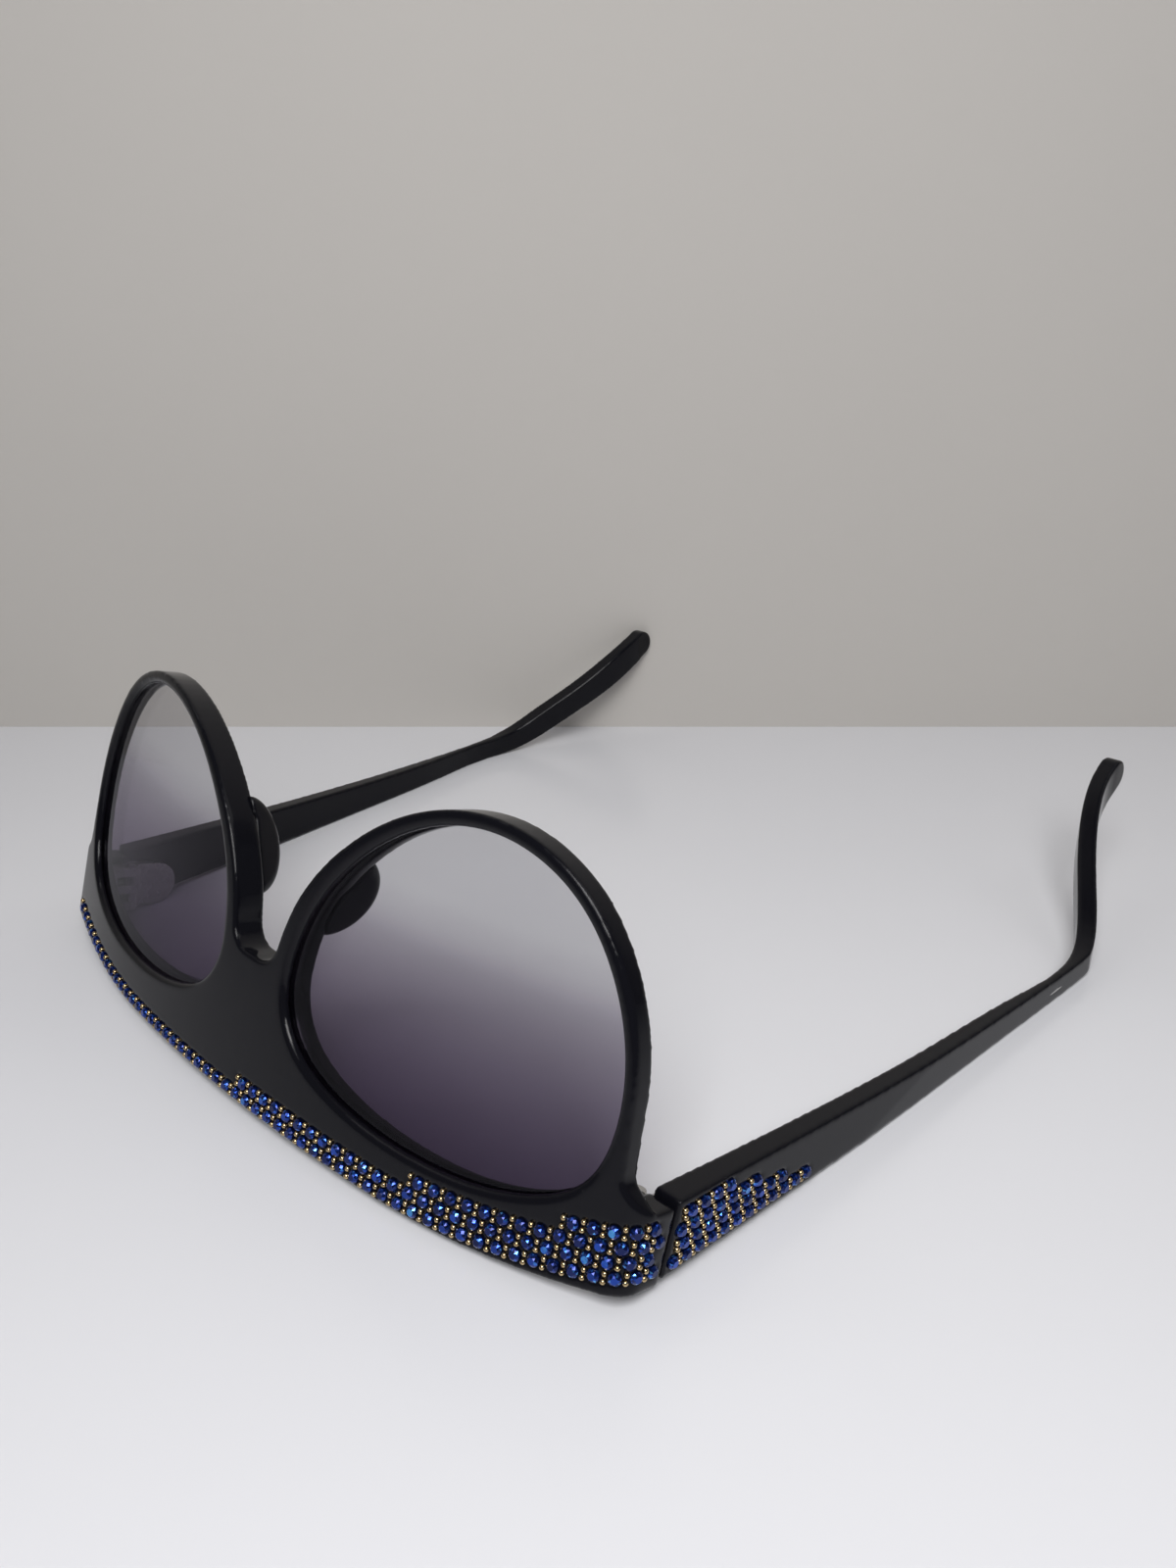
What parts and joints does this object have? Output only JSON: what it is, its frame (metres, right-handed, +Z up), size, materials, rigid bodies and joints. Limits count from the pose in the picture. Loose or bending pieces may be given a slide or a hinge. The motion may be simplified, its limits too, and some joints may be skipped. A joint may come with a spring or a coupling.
{
  "type": "cat eye sunglasses",
  "caption": "Cat eye sunglasses with deep-browed oversized rims, tinted curved lenses, barrel-hinged folding temples and a crystal band along the brow and one temple.",
  "frame": {"origin": "middle of the bounding box, at the level of the surface the pair rests on", "axes": "+X towards the wearer's right, +Y back along the temples (the front faces -Y), +Z up as the pair lies, which is upside down: on its brow edge and on the temples' upper edges, lens bottoms upwards"},
  "size_m": [0.1446, 0.1534, 0.051],
  "materials": {
    "acetate": "polished black acetate",
    "nose_pad": "polished black acetate",
    "lens": "purple-grey gradient tint, darkest at the brow and nearly clear at the cheek",
    "hinge": "satin",
    "screw": "satin",
    "core_wire": "plain",
    "crystal": "faceted royal blue crystal",
    "stud": "polished"
  },
  "bodies": {
    "front_body": {"front": "acetate", "lens_right": "lens", "lens_left": "lens", "nose_pad_right": "nose_pad", "nose_pad_left": "nose_pad", "front_hinge_right": "hinge", "front_hinge_left": "hinge", "hinge_screw_right": "screw", "hinge_screw_left": "screw", "stones_row_1": "crystal", "stones_row_2": "crystal", "stones_row_3": "crystal", "stones_row_4": "crystal", "studs_row_1": "stud", "studs_row_2": "stud", "studs_row_3": "stud", "studs_row_4": "stud"},
    "right_temple": {"temple_right": "acetate", "temple_core_right": "core_wire", "temple_hinge_right": "hinge", "temple_stones": "crystal", "temple_studs": "stud"},
    "left_temple": {"temple_left": "acetate", "temple_core_left": "core_wire", "temple_hinge_left": "hinge"}
  },
  "joints": [
    {"name": "right_temple_fold", "type": "hinge", "parent": "front_body", "child": "right_temple", "pos_m": [0.0606, -0.05868, 0.00573], "axis": [0, 0.299, 0.9542], "range_deg": [0, 90]},
    {"name": "left_temple_fold", "type": "hinge", "parent": "front_body", "child": "left_temple", "pos_m": [-0.0606, -0.05868, 0.00573], "axis": [0, -0.299, -0.9542], "range_deg": [0, 83]}
  ]
}
